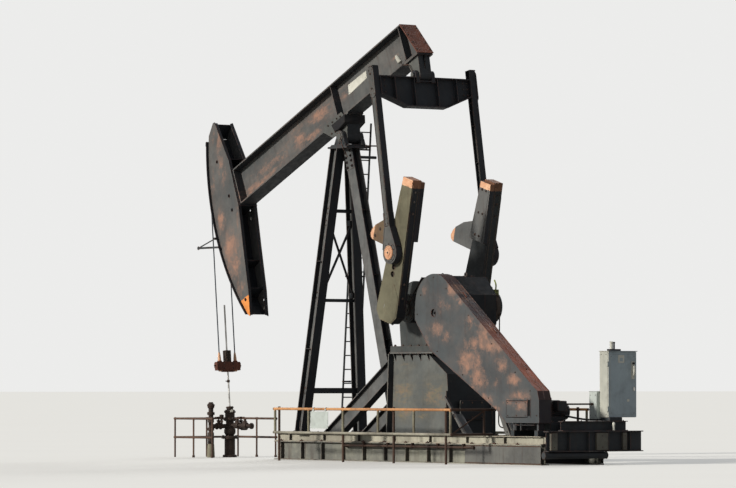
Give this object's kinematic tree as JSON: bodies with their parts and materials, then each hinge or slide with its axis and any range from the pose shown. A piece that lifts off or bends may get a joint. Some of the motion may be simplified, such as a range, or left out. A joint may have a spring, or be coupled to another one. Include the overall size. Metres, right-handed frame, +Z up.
{
  "type": "pumpjack",
  "caption": "Pumpjack with horsehead, walking beam, three-legged post, cranks with weights, pitmans, gear reducer, belt guard, skid base and wellhead.",
  "frame": {"origin": "underside of the base's cross beam at ground level, below the saddle bearing, on the machine's middle plane", "axes": "+X level from the well towards the motor, +Y to the side away from the belt guard, +Z up"},
  "size_m": [13.784, 3.5642, 9.303],
  "materials": {
    "base_paint": "weathered pale paint",
    "dark_paint": "weathered charcoal paint with rust",
    "grey_paint": "weathered grey paint with rust stains",
    "olive_paint": "faded olive-grey paint",
    "rust_paint": "rust-red paint",
    "orange_paint": "faded orange paint",
    "panel_paint": "blue-grey paint",
    "cream_paint": "cream paint",
    "raw_iron": "oily cast iron",
    "bright_steel": "turned steel",
    "wire_rope": "greased wire rope"
  },
  "bodies": {
    "frame": {"base_rail_near": "base_paint", "base_rail_far": "base_paint", "base_cross_beams": "dark_paint", "upper_rail_near": "base_paint", "upper_rail_far": "base_paint", "rear_beam": "dark_paint", "front_leg_near": "dark_paint", "front_leg_far": "dark_paint", "rear_leg": "dark_paint", "post_bracing": "dark_paint", "post_cap": "dark_paint", "saddle_bearing": "dark_paint", "ladder": "dark_paint", "pedestal": "grey_paint", "pedestal_brace_near": "dark_paint", "pedestal_brace_far": "dark_paint", "reducer_housing": "grey_paint", "brake_drum": "dark_paint", "belt_guard": "rust_paint", "motor": "dark_paint", "motor_base": "dark_paint", "panel_beam": "dark_paint", "panel_box": "panel_paint", "control_box": "cream_paint", "guard_rail_near": "orange_paint", "guard_rail_far": "orange_paint", "guard_return": "orange_paint", "guard_posts": "rust_paint", "sign_plate": "cream_paint", "well_rail_near": "grey_paint", "well_rail_far": "grey_paint", "well_rail_front": "grey_paint", "wellhead": "raw_iron", "stuffing_box": "raw_iron"},
    "crank_set": {"crankshaft": "bright_steel", "crank_near": "olive_paint", "crank_far": "olive_paint", "crank_weight_near": "grey_paint", "crank_weight_far": "grey_paint"},
    "beam_set": {"walking_beam": "dark_paint", "tail_plate": "rust_paint", "head_plate_near": "grey_paint", "head_plate_far": "grey_paint", "head_face": "dark_paint", "head_frame": "dark_paint", "beam_saddle": "grey_paint", "tail_bearing": "grey_paint", "line_hanger": "wire_rope", "line_bracket": "dark_paint"},
    "pitman_set": {"equaliser": "dark_paint", "pitman_near": "dark_paint", "pitman_far": "dark_paint", "wrist_bearing_near": "dark_paint", "wrist_bearing_far": "dark_paint"},
    "rod_set": {"carrier_bar": "rust_paint", "rod_clamp": "raw_iron", "polished_rod": "bright_steel", "polished_rod_lower": "bright_steel", "lifting_lines": "wire_rope"},
    "door_set": {"panel_door": "panel_paint"}
  },
  "joints": [
    {"name": "crank_turn", "type": "hinge", "parent": "frame", "child": "crank_set", "pos_m": [3.048, 0, 3.23], "axis": [0, 1, 0], "range_deg": [0, 157.23]},
    {"name": "beam_swing", "type": "hinge", "parent": "frame", "child": "beam_set", "pos_m": [0, 0, 7], "axis": [0, 1, 0], "range_deg": [0, 46.23]},
    {"name": "pitman_swing", "type": "hinge", "parent": "beam_set", "child": "pitman_set", "pos_m": [2.70133, 0, 8.18547], "axis": [0, 1, 0], "range_deg": [-43.15, 0]},
    {"name": "rod_slide", "type": "slide", "parent": "frame", "child": "rod_set", "axis": [-0.0976, 0, 0.9952], "range_m": [0, 4.275], "deforming": ["lifting_lines", "polished_rod_lower"]},
    {"name": "panel_door", "type": "hinge", "parent": "frame", "child": "door_set", "pos_m": [7.931, 0.869, 1.6], "axis": [0, 0, -1], "range_deg": [0, 110]}
  ],
  "couplings": [
    {"joint": "beam_swing", "follows": "crank_turn", "ratio": 0.2939},
    {"joint": "pitman_swing", "follows": "crank_turn", "ratio": -0.27434},
    {"joint": "rod_slide", "follows": "crank_turn", "m_per_rad": 1.5571}
  ]
}
